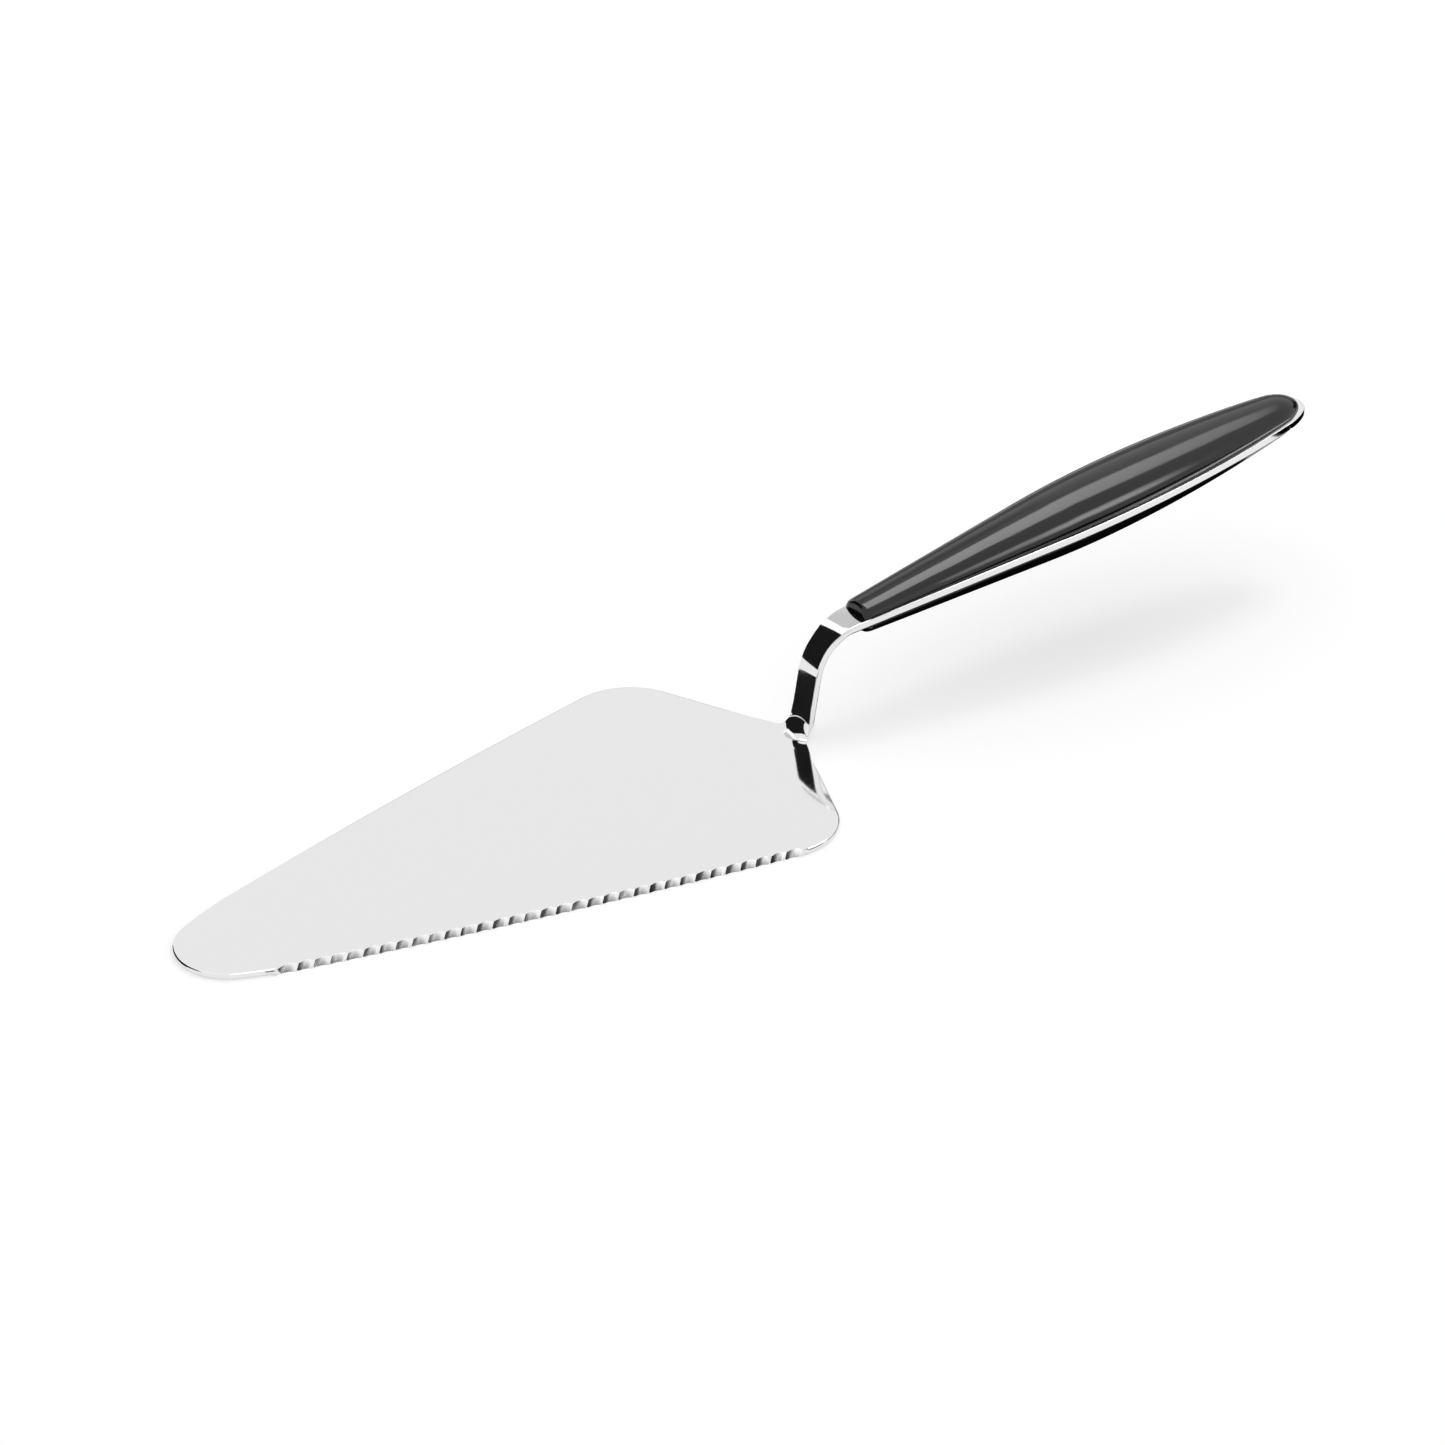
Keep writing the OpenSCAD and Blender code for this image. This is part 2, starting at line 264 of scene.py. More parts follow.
def card(name, middle, towards, width, height, strength,
         soft_edge=0.0, end_strength=None, roll=0.0):
    """A card, in metres, at middle that faces the point towards. Its width lies level,
    or is rolled by some degrees. Its glow can run to another strength along its width."""
    middle, towards = Vector(middle), Vector(towards)
    plane = new_sheet(name)
    facing = (towards - middle).normalized()
    side = UPRIGHT.cross(facing)
    side = side.normalized() if side.length > 0.001 else Vector((1, 0, 0))
    side.rotate(Quaternion(facing, -math.radians(roll)))
    axes = Matrix((side * width, facing.cross(side) * height, facing)).transposed().to_4x4()
    plane.matrix_world = Matrix.Translation(middle) @ axes
    material, tree, output, glow = glowing(name, strength)
    place = add_node(tree, "TexCoord")
    split = add_node(tree, "SeparateXYZ", {}, {0: place.outputs["Object"]})
    if end_strength is not None:
        fall = spread(tree, split.outputs["X"], -HALF_SHEET, HALF_SHEET, strength, end_strength)
        tree.links.new(fall, glow.inputs["Strength"])
    surface = faded(tree, split, glow, soft_edge) if soft_edge else glow
    tree.links.new(surface.outputs[0], output.inputs["Surface"])
    plane.data.materials.append(material)
    show_in_gloss_only(plane)


# %% [markdown]
# ## Which card draws what
# The overhead and front right cards draw the bands along the black scales, and the
# low grey card lifts their far side. The strip card is the light line across the
# neck, between the black of the dark wall. The grey card is what the bare top of the
# tang mirrors, and the fill card lights the near side of the neck. A dark card stands
# past the tail, and a small one beside the near shoulder. The card along the
# teeth is light at its top and dark at its foot, so that each ground wall gets both.

# %% The cards round the server
def seen_from(point, turn, rise, distance=1.0):
    """The place that lies turn degrees round and rise degrees up from a point."""
    turn, rise = math.radians(turn), math.radians(rise)
    out = Vector((math.cos(turn) * math.cos(rise), math.sin(turn) * math.cos(rise),
                  math.sin(rise)))
    return Vector(point) + out * distance


NECK = (0.005, 0, 0.014)
GRIP = (0.070, 0, 0.030)
card("overhead_card", (0.49, 0.18, 1.0), (0.49, 0.18, 0), 0.86, 0.56, 7.0, end_strength=2.6)
card("front_right_card", seen_from(GRIP, -60, 28), GRIP, 0.46, 0.46, 6.5, soft_edge=0.7)
card("low_grey_card", seen_from(GRIP, 50, 8), GRIP, 0.95, 0.42, 0.35)
card("strip_card", seen_from(NECK, 82, 47), NECK, 0.38, 0.34, 1.28)
card("grey_card", seen_from(NECK, 64.3, 43.0, 0.405), NECK, 0.162, 0.078, 0.68, roll=12.8)
card("dark_wall", seen_from(NECK, 124, 25, 0.98), NECK, 1.02, 1.20, 0.012)
card("fill_card", (0.041, -0.045, 0.041), NECK, 0.022, 0.030, 1.15)
card("dark_right_card", seen_from(GRIP, 8, 6), GRIP, 0.55, 0.40, 0.06)
card("teeth_card", (-0.0624, -0.0306, 0.0049), (-0.0601, -0.0209, 0.0049), 0.0095, 0.122, 0.80,
     end_strength=0.03, roll=90)
card("shoulder_card", (0.0041, -0.039, 0.0032), (-0.005, -0.035, 0.0032), 0.011, 0.006, 0.04)

# %% [markdown]
# ## Black paper and painted shade under the handle
# The lower scale and the tail look down at the table. Strips of black paper laid
# there keep them deep black, and a white gap between the strips lies just where the
# steel between the scales looks, so the steel stays bright. The strip under the
# handle is painted shade: in reflections alone, it darkens the table where the
# handle's shadow lies.

# %% Black paper on the table
PAPER_HEIGHT = 0.4


def paper_strip(name, corners, strength=0.0):
    """A sheet that lies on the table between four corners, in millimetres."""
    strip = new_sheet(name)
    for vertex, (x, y) in zip(strip.data.vertices, corners):
        vertex.co = (x * MM, y * MM, PAPER_HEIGHT * MM)
    material, tree, output, dark = glowing(name, strength)
    tree.links.new(dark.outputs[0], output.inputs["Surface"])
    strip.data.materials.append(material)
    show_in_gloss_only(strip)


paper_strip("paper_behind_neck", ((11.5, -5), (27, -9), (6, 28), (27, 28)))
# Painted shade: a dark strip where the handle's shadow lies on the table, seen only in reflections.
paper_strip("painted_shade_under_handle", ((27, -22), (142, -34), (27, 20), (142, 20)))
paper_strip("paper_behind_handle", ((30, 28), (330, 28), (30, 200), (330, 200)), strength=0.1)
paper_strip("paper_in_front", ((30, -420), (420, -420), (30, -62), (230, -92)))
paper_strip("paper_past_tail", ((176, -60), (500, -60), (176, 160), (500, 160)))

# %% [markdown]
# ## The steel strip
# Blade, neck and tang are one strip of mirror-polished stainless steel. The
# measured solid is copied and its loose triangles are merged into one closed mesh,
# so that its edges can be found and eased like those of any modelled part.

# %% A copy that can be worked on
SAME_CORNER = 0.002


def working_copy(node, name):
    """A copy of a measured solid, merged into one closed mesh, selected and active."""
    bpy.ops.object.select_all(action="DESELECT")
    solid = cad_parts[node]
    piece = solid.copy()
    piece.data = solid.data.copy()
    piece.parent = None
    for key in list(piece.keys()):
        del piece[key]
    piece.name = piece.data.name = name
    piece.data.materials.clear()
    scene.collection.objects.link(piece)
    bpy.context.view_layer.objects.active = piece
    piece.select_set(True)
    bpy.ops.object.mode_set(mode="EDIT")
    bpy.ops.mesh.customdata_custom_splitnormals_clear()
    bpy.ops.mesh.select_all(action="SELECT")
    bpy.ops.mesh.remove_doubles(threshold=SAME_CORNER * MM)
    bpy.ops.object.mode_set(mode="OBJECT")
    return piece


steel = working_copy("blade_and_tang", "steel_strip")
print("steel strip faces:", len(steel.data.polygons))

# %% [markdown]
# ## The edge before it is ground
# A scalloped edge starts as a smooth one. The measured scallops lean outwards only,
# and in the photograph the ridges between them also run slantwise, so the scallops
# of the copy are cut anew. First their corners are moved out to the two circles of
# the outline, the cheek beside the nose and the long edge, which fills the notches.

# %% The cutting edge, filled up to its outline
CHEEK, EDGE = ((-91.297, 64.120), 81.0), ((249.468, 1338.341), 1400.0)
JOINT_RUN, JOINT_TURN = 25.445, math.radians(104.972)
NEAR_SIDE, NOTCHES_FROM, NOTCHES_TO = -8, -118.6, -21.8
ON_OUTLINE, DEEPEST_NOTCH = 0.004, 1.4
SAME_POINT, NO_LENGTH, SAME_PLANE = 0.004, 0.01, math.radians(0.25)


def on_edge(run):
    """The point of the near outline that lies run mm round from the nose, and the way out."""
    middle, radius = CHEEK if run < JOINT_RUN else EDGE
    turn = JOINT_TURN - (run - JOINT_RUN) / radius
    out = Vector((math.cos(turn), -math.sin(turn), 0))
    return Vector((*middle, 0)) + out * radius, out


def merge_flat_faces(triangles=False):
    """Merges the active piece's faces that share a plane, and can split them in triangles."""
    bpy.ops.object.mode_set(mode="EDIT")
    bpy.ops.mesh.select_all(action="SELECT")
    bpy.ops.mesh.remove_doubles(threshold=SAME_POINT * MM)
    bpy.ops.mesh.dissolve_degenerate(threshold=NO_LENGTH * MM)
    bpy.ops.mesh.dissolve_limited(angle_limit=SAME_PLANE)
    if triangles:
        bpy.ops.mesh.quads_convert_to_tris(quad_method="BEAUTY", ngon_method="BEAUTY")
    bpy.ops.object.mode_set(mode="OBJECT")


merge_flat_faces()
joint = on_edge(JOINT_RUN)[0]
filled = 0
for vertex in steel.data.vertices:
    x, y, z = vertex.co / MM
    if y < NEAR_SIDE and NOTCHES_FROM < x < NOTCHES_TO:
        middle, radius = CHEEK if x < joint.x else EDGE
        out = Vector((x - middle[0], y - middle[1], 0))
        if ON_OUTLINE < radius - out.length < DEEPEST_NOTCH:
            place = Vector((*middle, 0)) + out.normalized() * radius
            vertex.co = Vector((place.x, place.y, z)) * MM
            filled += 1
print("corners moved out to the outline:", filled)

# %% [markdown]
# ## The slanted wheel
# A scallop is ground with a small round wheel that leans outwards, so it bites deep
# into the upper face and shallow below, and also leans along the edge. One drum
# stands for the wheel. It is modelled once and copied for each scallop.

# %% A drum for each scallop
FIRST_RUN, PITCH, SCALLOPS = 19.0, 3.0, 33
TOP = 1.1
WHEEL_SIDES, WHEEL_RADIUS, WHEEL_LENGTH = 96, 2.5, 8
OUTWARD_LEAN, ALONG_LEAN = 0.895, 0.76
WHEEL_OUT, WHEEL_ALONG = 2.12, -0.21

bpy.ops.object.select_all(action="DESELECT")
bpy.ops.mesh.primitive_cylinder_add(vertices=WHEEL_SIDES, radius=WHEEL_RADIUS * MM,
                                    depth=WHEEL_LENGTH * MM)
wheel = bpy.context.object
passes = ([], [])
for i in range(SCALLOPS):
    place, out = on_edge(FIRST_RUN + (i + 0.5) * PITCH)
    along = Vector((-out.y, out.x, 0))
    axis = (UPRIGHT - out * OUTWARD_LEAN + along * ALONG_LEAN).normalized()
    middle = place + out * WHEEL_OUT + along * WHEEL_ALONG + UPRIGHT * TOP
    lean = UPRIGHT.rotation_difference(axis).to_matrix().to_4x4()
    drum = wheel.copy()
    drum.data = wheel.data.copy()
    drum.matrix_world = Matrix.Translation(middle * MM) @ lean
    scene.collection.objects.link(drum)
    passes[i % 2].append(drum)
bpy.data.objects.remove(wheel)
print("drums:", len(passes[0]), "and", len(passes[1]))

# %% [markdown]
# ## Cutting the scallops
# Neighbouring drums overlap, and a boolean cut wants clean solids. So every other
# scallop is cut in a first pass and the rest in a second. The faces are split in
# triangles before each cut, because a long face with many corners can go wrong.

# %% Cut the scallops in two passes
for drums in passes:
    bpy.ops.object.select_all(action="DESELECT")
    for drum in drums:
        drum.select_set(True)
    bpy.context.view_layer.objects.active = drums[0]
    bpy.ops.object.join()
    bpy.ops.object.select_all(action="DESELECT")
    bpy.context.view_layer.objects.active = steel
    steel.select_set(True)
    merge_flat_faces(triangles=True)
    cut = steel.modifiers.new("scallops", "BOOLEAN")
    cut.operation, cut.solver, cut.object = "DIFFERENCE", "EXACT", drums[0]
    bpy.ops.object.modifier_apply(modifier=cut.name)
    bpy.data.objects.remove(drums[0])
merge_flat_faces()
print("steel strip faces with the scallops:", len(steel.data.polygons))

# %% [markdown]
# ## Faces for the neck
# The neck of the solid is a plain bend with long faces from side to side. It is to
# be pressed round and crowned below, and a face can only curve where it has
# corners, so it is cut lengthwise first, and once across where the tang starts.

# %% Cuts along the neck
NECK_FROM, NECK_TO = 0.549, 17.0
CUT_STEP, CUTS_EACH_SIDE = 0.6, 8
ON_PLANE = 0.001


def select_faces(piece, wanted):
    """Selects the faces whose middle, in mm, and normal pass a test, and deselects the rest."""
    for part in (piece.data.vertices, piece.data.edges):
        part.foreach_set("select", [False] * len(part))
    chosen = [wanted(face.center / MM, face.normal) for face in piece.data.polygons]
    piece.data.polygons.foreach_set("select", chosen)
    return sum(chosen)


def cut_faces(piece, place, normal, wanted):
    """Cuts the chosen faces along a plane through place, in mm."""
    if select_faces(piece, wanted):
        bpy.ops.object.mode_set(mode="EDIT")
        bpy.ops.mesh.bisect(plane_co=Vector(place) * MM, plane_no=normal,
                            threshold=ON_PLANE * MM)
        bpy.ops.object.mode_set(mode="OBJECT")


def is_neck_face(middle, normal):
    """True for the upper and lower faces of the neck, and not for its sides."""
    return NECK_FROM < middle.x < NECK_TO and abs(normal.y) < 0.5


bpy.context.tool_settings.mesh_select_mode = (False, False, True)
cut_faces(steel, (NECK_TO, 0, 0), (1, 0, 0), lambda middle, normal: middle.x > NECK_FROM)
for k in range(-CUTS_EACH_SIDE, CUTS_EACH_SIDE + 1):
    cut_faces(steel, (0, CUT_STEP * k, 0), (0, 1, 0), is_neck_face)
print("faces with the neck cut:", len(steel.data.polygons))

# %% [markdown]
# ## The pressed root
# Where the neck leaves the blade the strip was pressed over a rounded tool: the
# bend is full in the middle and tight at its sides, so its line on the blade is a
# small arc. Each point of the plain bend is laid on an arc whose radius shrinks
# towards the sides. A point keeps its depth below the face, so the thickness stays.

# %% Where a point of the bend goes
ROOT_RADIUS, ROOT_TURN = 4.4, math.radians(80)
SIDE_TIGHTER, LEAST_RADIUS = 1.2, 0.5
HALF_NECK = 2.85
PRESSED_UP_TO = 8
corner = NECK_FROM + ROOT_RADIUS * math.tan(ROOT_TURN / 2)


def root_bend(y):
    """The radius of the pressed bend at a distance from the middle, and where it starts."""
    radius = max(LEAST_RADIUS, ROOT_RADIUS - SIDE_TIGHTER * (y / HALF_NECK) ** 2)
    return radius, corner - radius * math.tan(ROOT_TURN / 2)


def pressed(x, y, z):
    """Where a point of the plain bend goes in the pressed one, in mm."""
    turn = math.atan2(x - NECK_FROM, TOP + ROOT_RADIUS - z)
    if not 0 < turn <= ROOT_TURN or z > PRESSED_UP_TO:
        return x, z
    depth = math.hypot(x - NECK_FROM, TOP + ROOT_RADIUS - z) - ROOT_RADIUS
    radius, start = root_bend(y)
    whole = (start - NECK_FROM) + radius * ROOT_TURN + (corner - NECK_FROM) - (corner - start)
    run = turn / ROOT_TURN * whole
    flat = start - NECK_FROM
    if run < flat:
        return NECK_FROM + run, max(0, TOP - depth)
    angle = min(ROOT_TURN, (run - flat) / radius)
    beyond = run - flat - radius * angle
    out_x, out_z = math.sin(angle), -math.cos(angle)
    new_x = start + (radius + depth) * out_x + beyond * math.cos(angle)
    new_z = TOP + radius + (radius + depth) * out_z + beyond * math.sin(angle)
    return new_x, max(0, new_z)


print("bend line is", round(root_bend(HALF_NECK)[1] - NECK_FROM, 2), "mm further back at the sides")

# %% [markdown]
# ## The crown of the neck
# Polishing takes more off a neck at its sides than in its middle, so its upper side
# is slightly crowned, and reflections narrow across it. The upper points are
# lowered along the face's own direction, most at the sides. The crown
# grows from nothing above the blade and dies out before the tang.

# %% Press the root and crown the neck
CROWN = 0.10
CROWN_GROWS, CROWN_ENDS = (1.5, 3.5), (12, 16.5)
UPPER_SIDE = Vector((-0.77, 0, 0.64))
BESIDE_NECK, BESIDE_ROOT = 6, 12


def smooth_share(value, low, high):
    """0 below low, 1 above high, and a smooth step between."""
    t = min(1, max(0, (value - low) / (high - low)))
    return t * t * (3 - 2 * t)


def crown_share(x, z):
    """How much of the crown there is at a place on the neck."""
    return smooth_share(z, *CROWN_GROWS) * (1 - smooth_share(x, *CROWN_ENDS))


upper_normals = {}
for face in steel.data.polygons:
    middle, normal = face.center / MM, face.normal
    on_neck = NECK_FROM < middle.x < NECK_TO and abs(middle.y) < BESIDE_NECK
    if on_neck and normal.dot(UPPER_SIDE) > 0.5 and abs(normal.y) < 0.3:
        for index in face.vertices:
            upper_normals[index] = upper_normals.get(index, Vector()) + normal * face.area
for vertex in steel.data.vertices:
    x, y, z = vertex.co / MM
    if not (NECK_FROM < x < NECK_TO and abs(y) < BESIDE_ROOT):
        continue
    lowered = Vector()
    if vertex.index in upper_normals:
        share = crown_share(x, z) * min(1, (y / HALF_NECK) ** 2)
        lowered = upper_normals[vertex.index].normalized() * CROWN * share
    new_x, new_z = pressed(x, y, z)
    vertex.co = (Vector((new_x, y, new_z)) - lowered) * MM
print("points on the upper side of the neck:", len(upper_normals))

# %% [markdown]
# ## Finding the sharp edges
# Polishing rolls every edge over, and these rounds draw the white lines along the
# steel. The edges could be picked by hand, but the mesh changes with each cut above.
# So they are found by how much the two faces beside them fold, and by where
# they lie. The pins' holes are hidden under the scales and stay sharp.

# %% Sharp edges and where they lie
TEETH_FROM, TEETH_TO = -118.5, -20.5
HOLES_FROM, HOLES_TO, HOLES_SIDE = 28, 125, 2.6
EDGE_FOLD = 40


def is_tooth(middle):
    """True for a place, in mm, in the row of teeth."""
    return middle.y < NEAR_SIDE and TEETH_FROM < middle.x < TEETH_TO


def is_hole(middle):
    """True for a place, in mm, at the holes for the pins."""
    return HOLES_FROM < middle.x < HOLES_TO and abs(middle.y) < HOLES_SIDE


def edge_middle(piece, edge):
    """The middle of an edge, in mm."""
    first, second = (piece.data.vertices[index].co for index in edge.vertices)
    return (first + second) / 2 / MM


def select_sharp_edges(piece, sharpness, wanted):
    """Selects the edges that fold by more degrees than sharpness and whose middle passes a test."""
    folds = {}
    for face in piece.data.polygons:
        for key in face.edge_keys:
            folds.setdefault(key, []).append(face.normal)
    for part in (piece.data.vertices, piece.data.polygons):
        part.foreach_set("select", [False] * len(part))
    chosen = []
    for edge in piece.data.edges:
        sides = folds.get(edge.key, [])
        sharp = len(sides) == 2 and sides[0].angle(sides[1], 0) > math.radians(sharpness)
        chosen.append(bool(sharp and wanted(edge_middle(piece, edge))))
    piece.data.edges.foreach_set("select", chosen)
    return sum(chosen)


merge_flat_faces()
print("sharp edges left square at the holes:", select_sharp_edges(steel, EDGE_FOLD, is_hole))

# %% [markdown]
# ## Eased teeth
# The teeth are rolled least of all, or they would be dull. They come first, because
# a bevel takes room from its neighbours, and the narrow one would find none beside
# a wide one. Two segments are enough for a round that is thinner than a hair.

# %% Bevels on the teeth
TOOTH_ROUND, TOOTH_STEPS, TOOTH_FOLD = 0.07, 2, 25

bpy.context.tool_settings.mesh_select_mode = (False, True, False)
print("edges of the teeth:", select_sharp_edges(steel, TOOTH_FOLD, is_tooth))
bpy.ops.object.mode_set(mode="EDIT")
bpy.ops.mesh.bevel(offset=TOOTH_ROUND * MM, segments=TOOTH_STEPS, profile=0.5,
                   affect="EDGES", clamp_overlap=True)
bpy.ops.object.mode_set(mode="OBJECT")

# %% [markdown]
# ## Rolled edges
# Round the blade the buffing wheel rolls the edge over widely, up the neck less, and
# at the corners of the root and along the tang hardly at all. A bevel of one width
# would tangle at the root, so each edge gets a weight for its place, and a Bevel
# modifier rounds them all in one go. Nothing may sink below the table after it.

# %% Roll the other edges over
WIDEST, NARROWEST, NECK_EXTRA = 0.42, 0.08, 0.18
BLADE_ENDS, NECK_STARTS, NECK_ENDS = (-4, 1.5), (4.5, 9), (14, 19)
EDGE_STEPS = 4


def eased_width(x, y, z):
    """How far polishing rolls an edge over at a place, in mm."""
    blade = 1 - smooth_share(x, *BLADE_ENDS)
    neck = smooth_share(z, *NECK_STARTS) * (1 - smooth_share(x, *NECK_ENDS))
    return NARROWEST + (WIDEST - NARROWEST) * blade + NECK_EXTRA * neck


select_sharp_edges(steel, EDGE_FOLD, lambda middle: not is_hole(middle) and not is_tooth(middle))
shares = steel.data.attributes.new("bevel_weight_edge", "FLOAT", "EDGE")
for edge in steel.data.edges:
    if edge.select:
        shares.data[edge.index].value = eased_width(*edge_middle(steel, edge)) / WIDEST
rolled = steel.modifiers.new("rolled_edges", "BEVEL")
rolled.limit_method, rolled.width, rolled.segments = "WEIGHT", WIDEST * MM, EDGE_STEPS
rolled.use_clamp_overlap = False
bpy.ops.object.modifier_apply(modifier=rolled.name)
for vertex in steel.data.vertices:
    vertex.co.z = max(0, vertex.co.z)
print("steel strip faces:", len(steel.data.polygons))

# %% [markdown]
# ## Flat mirrors
# Smooth shading alone would bend the reflections in the broad faces towards their
# rims. Weighted normals let the large faces win over the narrow rounds beside them,
# so the blade mirrors like a flat sheet and only the rounds turn the light.

# %% Weighted directions
FACE_WEIGHT = 100


def shade_by_area(piece, name):
    """Smooth shading in which the larger faces lead."""
    bpy.ops.object.shade_smooth()
    flat = piece.modifiers.new(name, "WEIGHTED_NORMAL")
    flat.keep_sharp, flat.weight = False, FACE_WEIGHT
    bpy.ops.object.modifier_apply(modifier=flat.name)


shade_by_area(steel, "flat_faces")
print("steel strip shaded, with", len(steel.data.vertices), "corners")

# %% [markdown]
# ## True directions on the bends
# A mirror shows every facet. The upper side of the neck is made of parts of
# cylinders, so the exact direction is known at each corner of its faces. It is
# written over the averaged one, and the reflections get smooth borders.

# %% Exact directions along the neck
UPPER_CENTRE, UPPER_FROM, UPPER_TO = (17.155, 10.993), 12.903, 15.92
HANDLE_TURN = math.radians(6.45)


def facing_up(x, y, z):
    """Which way the upper side of the neck faces at a point, in mm."""
    radius, start = root_bend(y)
    if z < UPPER_FROM:
        turn = ROOT_TURN
        if z < TOP + radius:
            turn = min(ROOT_TURN, max(0, math.atan2(x - start, TOP + radius - z)))
        shrink = -2 * SIDE_TIGHTER * y / HALF_NECK ** 2 if radius > LEAST_RADIUS else 0
        tilt = -shrink * (math.tan(ROOT_TURN / 2) * math.sin(turn) + math.cos(turn) - 1)
        facing = Vector((-math.sin(turn), tilt, math.cos(turn)))
    elif x < UPPER_TO:
        facing = Vector((x - UPPER_CENTRE[0], 0, z - UPPER_CENTRE[1])).normalized()
    else:
        facing = Vector((-math.sin(HANDLE_TURN), 0, math.cos(HANDLE_TURN)))
    facing.y += 2 * CROWN * crown_share(x, z) * y / HALF_NECK ** 2
    return facing.normalized()


print("neck faces", [round(v, 2) for v in facing_up(5, 0, 8)], "halfway up")

# %% [markdown]
# ## Writing the directions down
# Corners on the two flat faces of the blade face straight up or down. Corners on the
# neck take the exact direction where the averaged one is already near it. The rolled
# edges of the lower neck keep their own turn sideways and only lose what
# leans along the strip, which would show as notches in their bright lines.

# %% Directions at the corners
NEARLY, ON_FACE = 0.94, 0.003
NECK_END, NECK_SIDES, FACING_DOWN = 18, 8, -0.2
ROUNDS_FROM, ROUNDS_TO, ROUNDS_ABOVE = 4.2, 9, 3.7


def true_direction(x, y, z, normal):
    """The direction that a corner should have, or None where the averaged one is right."""
    if x < NECK_FROM and abs(normal.z) > NEARLY and not ON_FACE < z < TOP - ON_FACE:
        return Vector((0, 0, math.copysign(1, normal.z)))
    if NECK_FROM < x < NECK_END and abs(y) < NECK_SIDES and normal.z > FACING_DOWN:
        exact = facing_up(x, y, z)
        if normal.dot(exact) > NEARLY:
            return exact
        if ROUNDS_FROM < x < ROUNDS_TO and z > ROUNDS_ABOVE and normal.dot(exact) > 0:
            along = exact.cross(Vector((0, 1, 0))).normalized()
            return (normal - along * normal.dot(along)).normalized()
    return None


directions, corrected = [], 0
for loop, found in zip(steel.data.loops, steel.data.corner_normals):
    normal = found.vector.copy()
    better = true_direction(*(steel.data.vertices[loop.vertex_index].co / MM), normal)
    directions.append(better or normal)
    corrected += better is not None
steel.data.normals_split_custom_set(directions)
print("corners with an exact direction:", corrected)

# %% [markdown]
# ## Mirror-polished stainless steel
# Stainless is a pale grey mirror. Buffing leaves hair-fine lines that run along the
# blade and a slight unevenness that makes reflections swim a little. Both could be
# painted, but two noises on the piece's own coordinates do it at any distance.

# %% Steel finish
MOST_NOISE = (0.3, 0.7)
HAIR_LINES, MIRROR_ROUGHNESS = (60, 2600, 2600), (0.035, 0.085)


def noise(tree, place, detail, scale=1.0, roughness=0.5, stretch=None):
    """A noise on the piece's own coordinates, which can be stretched along its axes."""
    where = place.outputs["Object"]
    if stretch:
        where = add_node(tree, "Mapping", {"Scale": stretch}, {"Vector": where}).outputs[0]
    values = {"Scale": scale, "Detail": detail, "Roughness": roughness}
    return add_node(tree, "TexNoise", values, {"Vector": where}).outputs[0]


def relief(tree, height, strength, depth, over=None):
    """A bump of some mm that follows a socket, and can lie over another bump."""
    sources = {"Height": height}
    if over:
        sources["Normal"] = over
    values = {"Strength": strength, "Distance": depth * MM}
    return add_node(tree, "Bump", values, sources).outputs[0]


def finish(tree, output, values, sources):
    """Puts the surface itself at the end of a material's nodes."""
    surface = add_node(tree, "BsdfPrincipled", values, sources)
    tree.links.new(surface.outputs[0], output.inputs["Surface"])


polished, tree, output = new_material("mirror_polished_stainless")
place = add_node(tree, "TexCoord")
lines = noise(tree, place, detail=3.0, roughness=0.6, stretch=HAIR_LINES)
waves = noise(tree, place, detail=2.0, scale=45.0)
buffed = spread(tree, lines, 0.35, 0.7, *MIRROR_ROUGHNESS)
swim = relief(tree, waves, 0.12, 0.02, over=relief(tree, lines, 0.05, 0.002))
finish(tree, output, {"Base Color": linear("#E7E7E7"), "Metallic": 1.0},
       {"Roughness": buffed, "Normal": swim})
steel.data.materials.append(polished)
print("steel finish nodes:", len(tree.nodes))

# %% [markdown]
# ## Ground teeth
# The scallops are cut by a small stone wheel after polishing, so their walls are
# satin, not mirror: streaked by the grit, and a little different from tooth to
# tooth, as the wheel loads up. The noise gives each tooth its tone. The direction of
# a wall gives painted shade and painted light: walls that face one way along the
# edge are painted dark, and walls that face the other way are painted light. A slow
# change along the edge makes the teeth near the neck the darkest.

# %% Finish of the ground teeth
EACH_TOOTH, GRIT_LINES = (310, 0, 0), (9000, 700, 700)
GROUND_ROUGHNESS = (0.22, 0.34)

ground, tree, output = new_material("ground_stainless_painted_shade")
place = add_node(tree, "TexCoord")
uneven = noise(tree, place, detail=1.0, stretch=EACH_TOOTH)
side = add_node(tree, "SeparateXYZ", {}, {0: place.outputs["Normal"]})
# Painted shade and painted light: the wall's direction along the edge sets dark or light.
painted_shade_by_facing = spread(tree, side.outputs["X"], 0.42, -0.22, -0.32, 0.50)
along = add_node(tree, "SeparateXYZ", {}, {0: place.outputs["Object"]})
# Darker towards the neck, by the place along the edge.
darker_towards_neck = spread(tree, along.outputs["X"], -0.12, -0.02, 0.04, -0.18)
tone = add_node(tree, "Math", {}, {0: uneven, 1: painted_shade_by_facing}, operation="ADD")
tone = add_node(tree, "Math", {}, {0: tone.outputs[0], 1: darker_towards_neck}, operation="ADD")
grit = noise(tree, place, detail=2.0, stretch=GRIT_LINES)
shade = add_node(tree, "ValToRGB", {}, {"Fac": tone.outputs[0]})
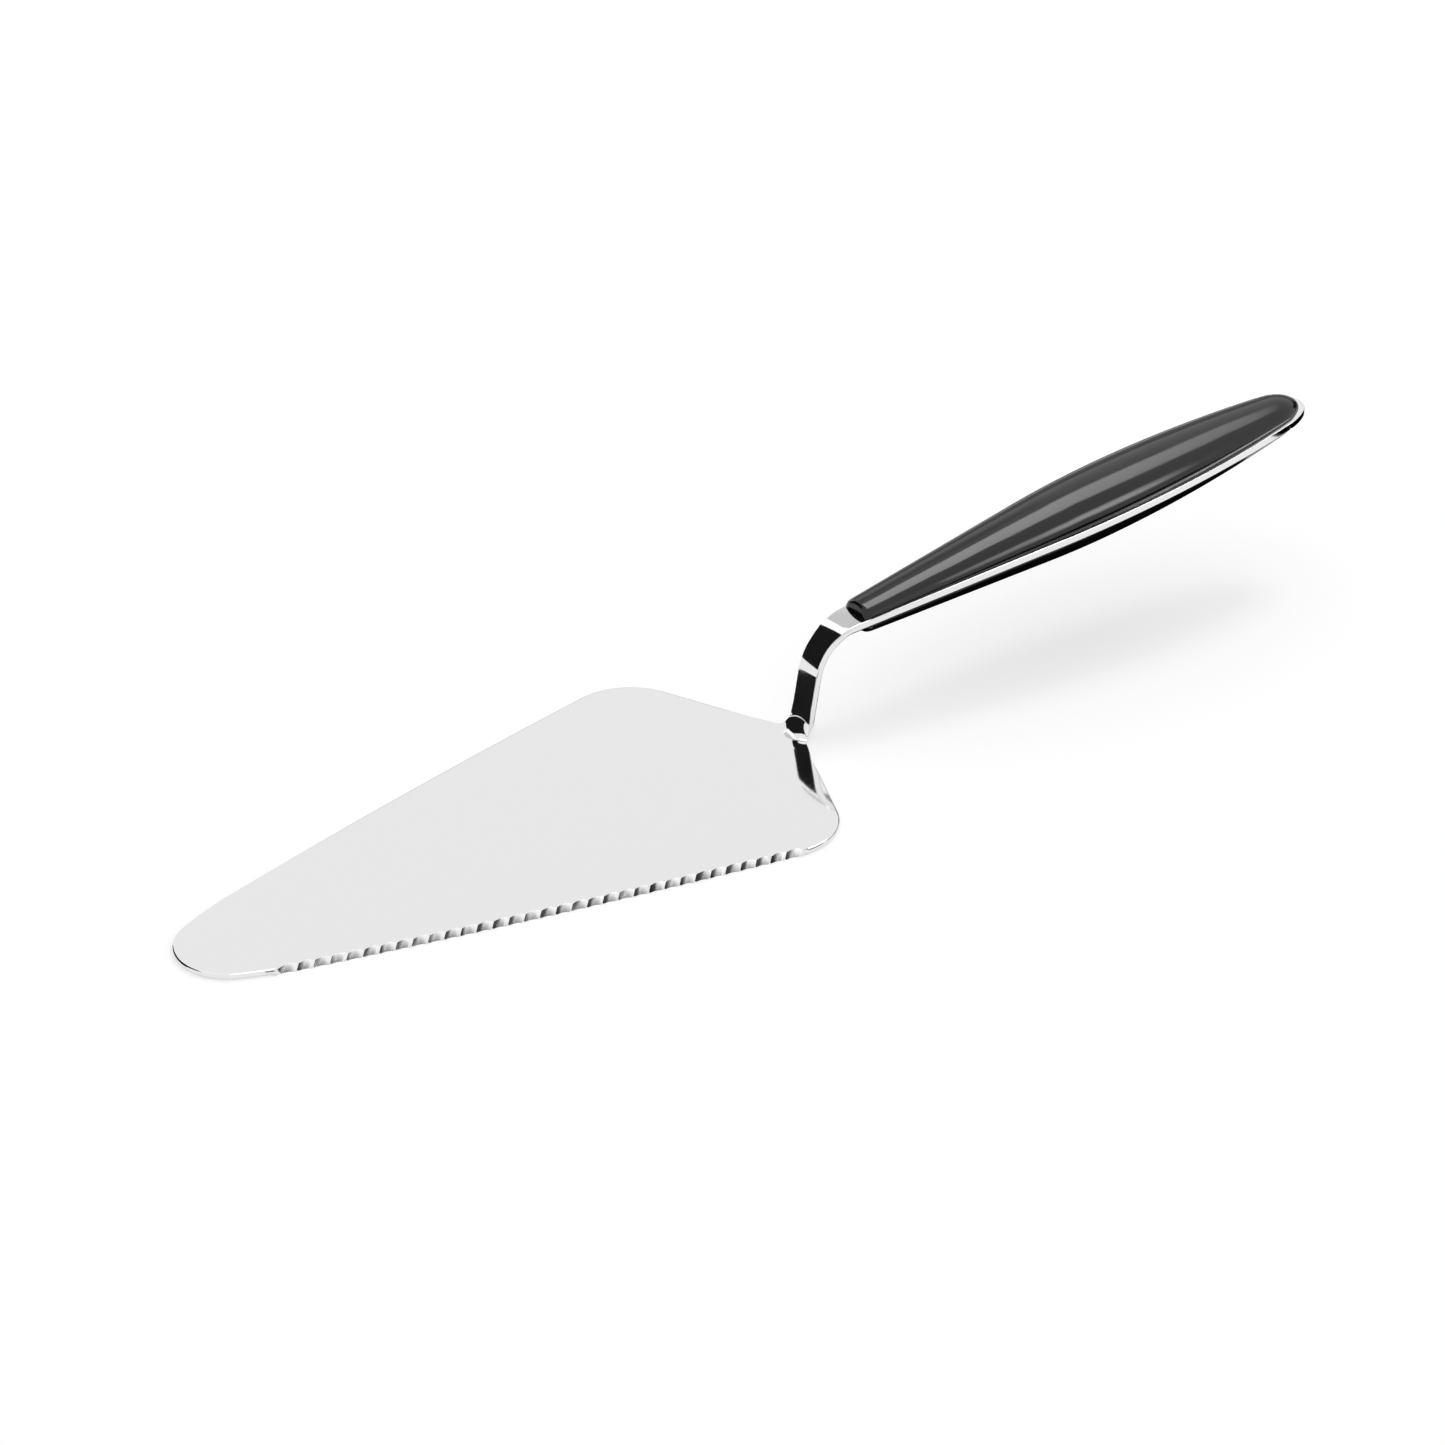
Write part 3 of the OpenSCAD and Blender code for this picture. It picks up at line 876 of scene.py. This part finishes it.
# The ramp runs from painted shade, near black, through grey to painted light, near white.
painted_shade_stop, left = shade.color_ramp.elements
painted_shade_stop.position, painted_shade_stop.color = 0.20, linear("#1C1D20")
left.position, left.color = 0.80, linear("#F4F4F4")
shade.color_ramp.elements.new(0.55).color = linear("#6C6D6E")
finish(tree, output, {"Metallic": 1.0},
       {"Base Color": shade.outputs[0], "Normal": relief(tree, grit, 0.25, 0.01),
        "Roughness": spread(tree, grit, *MOST_NOISE, *GROUND_ROUGHNESS)})
steel.data.materials.append(ground)
print("ground finish nodes:", len(tree.nodes))

# %% [markdown]
# ## Where the wheel has been
# Only the walls of the scallops are ground. They lean, so they face neither straight
# up, as the blade does, nor straight out, as the plain edge does. That finds them by
# their direction, and the height keeps off the rims of the two broad faces.

# %% Ground walls
WALL_FACING, WALL_HEIGHT = (0.15, 0.85), (0.08, 1.02)

walls = 0
for face in steel.data.polygons:
    leans = WALL_FACING[0] < face.normal.z < WALL_FACING[1]
    between = WALL_HEIGHT[0] < face.center.z / MM < WALL_HEIGHT[1]
    if is_tooth(face.center / MM) and leans and between:
        face.material_index = 1
        walls += 1
print("ground faces:", walls)

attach(steel, "root")
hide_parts("blade_and_tang")

# %% [markdown]
# ## The black scales
# The handle is two scales of moulded acetal, a hard, slightly waxy black plastic.
# Their crests are long, shallow curves with a narrow flat ledge beside the steel.
# The measured solids already carry these curves as fine strips, so each is copied
# and smoothed, which keeps the ledge crisp and the crest free of facets.

# %% Upper and lower scale
STRIP_FOLD = math.radians(0.05)

scales = []
for node, name in (("upper_scale", "scale_above"), ("lower_scale", "scale_below")):
    scale = working_copy(node, name)
    bpy.ops.object.mode_set(mode="EDIT")
    bpy.ops.mesh.dissolve_limited(angle_limit=STRIP_FOLD)
    bpy.ops.object.mode_set(mode="OBJECT")
    shade_by_area(scale, "crisp_front")
    scales.append(scale)
    print(name, "faces:", len(scale.data.polygons))

# %% [markdown]
# ## Black acetal
# Moulded acetal comes out of the tool with a low gloss, not with a mirror's. Its
# skin has a grain finer than a hair, and patches that shine a little more than
# others. The grain is a shallow bump, and the patches change the roughness.

# %% Black acetal finish
ACETAL_ROUGHNESS = (0.10, 0.15)

acetal, tree, output = new_material("black_moulded_acetal")
place = add_node(tree, "TexCoord")
grain = noise(tree, place, detail=2.0, scale=2600.0)
patches = noise(tree, place, detail=3.0, scale=160.0)
finish(tree, output, {"Base Color": linear("#0B0B0C"), "IOR": 1.48},
       {"Roughness": spread(tree, patches, *MOST_NOISE, *ACETAL_ROUGHNESS),
        "Normal": relief(tree, grain, 0.12, 0.01)})
for scale, node in zip(scales, ("upper_scale", "lower_scale")):
    scale.data.materials.append(acetal)
    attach(scale, "root")
    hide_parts(node)
print("acetal finish nodes:", len(tree.nodes))

# %% [markdown]
# ## The hidden pins
# Three short steel pins lock the scales to the tang from inside. They are cut from
# drawn wire, so they stay plain round pegs. They need no new shape, only a drawn
# satin finish with lines along each pin.

# %% Pin finish
DRAWN_LINES, PIN_ROUGHNESS = (3000, 3000, 150), (0.25, 0.4)

drawn, tree, output = new_material("drawn_pin_steel")
place = add_node(tree, "TexCoord")
lines = noise(tree, place, detail=2.0, stretch=DRAWN_LINES)
finish(tree, output, {"Base Color": linear("#C8C7C4"), "Metallic": 1.0},
       {"Roughness": spread(tree, lines, *MOST_NOISE, *PIN_ROUGHNESS),
        "Normal": relief(tree, lines, 0.2, 0.01)})
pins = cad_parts["scale_pins"]
pins.data.materials.clear()
pins.data.materials.append(drawn)
print("pin finish nodes:", len(tree.nodes))
